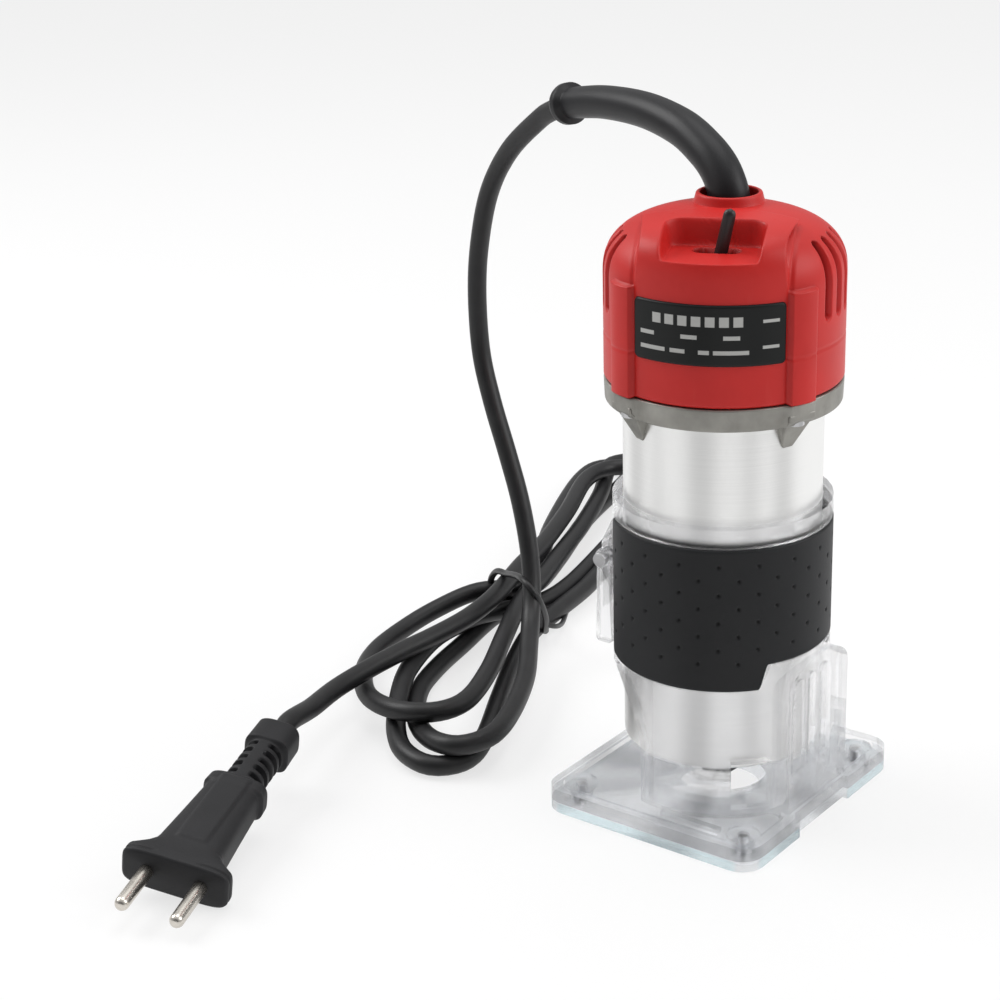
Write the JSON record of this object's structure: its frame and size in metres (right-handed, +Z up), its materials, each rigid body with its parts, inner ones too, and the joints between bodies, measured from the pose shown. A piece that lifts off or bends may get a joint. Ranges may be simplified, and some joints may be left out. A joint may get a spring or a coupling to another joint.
{
  "type": "trim router",
  "caption": "Compact electric trim router in a clear plastic base with rubber grip sleeve, turned aluminium motor tube, red top cap, toggle switch and hanked mains cord with plug.",
  "frame": {"origin": "On the spindle axis at the underside of the sub-base, which rests on the surface", "axes": "+Z up along the spindle, +X towards the guide bracket, -X towards the clamp ears"},
  "size_m": [0.255, 0.425, 0.2303],
  "materials": {
    "red_plastic": "satin moulded",
    "black_plastic": "moulded",
    "label_black": "printed",
    "grip_rubber": "matt",
    "relief_rubber": "satin",
    "plug_rubber": "matt",
    "clear_plastic": "clear moulded",
    "bluish_clear": "clear",
    "aluminium": "turned",
    "steel": "machined",
    "dark_steel": "blackened",
    "copper": "lacquered",
    "brass": "pressed",
    "carbon": "dull",
    "cord_pvc": "satin",
    "nickel": "nickel plated"
  },
  "bodies": {
    "base": {"sub_base": "bluish_clear", "clear_base": "clear_plastic", "grip_sleeve": "grip_rubber", "clamp_nut": "steel", "clamp_washer": "steel", "cord_hank": "cord_pvc", "cord_tail": "cord_pvc", "cord_tie": "black_plastic", "plug_body": "plug_rubber", "plug_pin_1": "nickel", "plug_pin_2": "nickel", "sub_base_screw_1": "steel", "sub_base_screw_2": "steel", "sub_base_screw_3": "steel", "sub_base_screw_4": "steel"},
    "motor": {"motor_housing": "aluminium", "motor_cap": "red_plastic", "rating_plate": "label_black", "switch_body": "black_plastic", "lower_bearing": "steel", "upper_bearing": "steel", "bearing_retainer": "steel", "retainer_screw_1": "steel", "retainer_screw_2": "steel", "bearing_bridge": "black_plastic", "stator_core": "steel", "field_coil_1": "copper", "field_coil_2": "copper", "brush_holder_1": "brass", "brush_holder_2": "brass", "carbon_brush_1": "carbon", "carbon_brush_2": "carbon", "brush_spring_1": "steel", "brush_spring_2": "steel", "cable_clamp": "black_plastic", "cable_clamp_screw_1": "steel", "cable_clamp_screw_2": "steel", "strain_relief": "relief_rubber", "cord_lead": "cord_pvc", "cap_screw_1": "steel", "cap_screw_2": "steel", "cap_screw_3": "steel", "cap_screw_4": "steel"},
    "armature": {"spindle_shaft": "steel", "cooling_fan": "black_plastic", "armature_core": "steel", "winding_lower": "copper", "winding_upper": "copper", "commutator": "copper", "collet": "steel", "collet_nut": "dark_steel"},
    "toggle": {"switch_lever": "black_plastic"},
    "clamp": {"clamp_lever": "clear_plastic", "clamp_bolt": "steel"}
  },
  "joints": [
    {"name": "depth_slide", "type": "slide", "parent": "base", "child": "motor", "axis": [0, 0, 1], "range_m": [-0.01, 0.025]},
    {"name": "spindle_spin", "type": "hinge", "parent": "motor", "child": "armature", "pos_m": [0, 0, 0.08], "axis": [0, 0, 1], "continuous": true},
    {"name": "switch_toggle", "type": "hinge", "parent": "motor", "child": "toggle", "pos_m": [0.00869, -0.01966, 0.1857], "axis": [-0.4043, 0.9146, 0], "range_deg": [-20, 2]},
    {"name": "clamp_turn", "type": "hinge", "parent": "base", "child": "clamp", "pos_m": [-0.039, 0, 0.08], "axis": [0, 1, 0], "range_deg": [0, 110]}
  ]
}
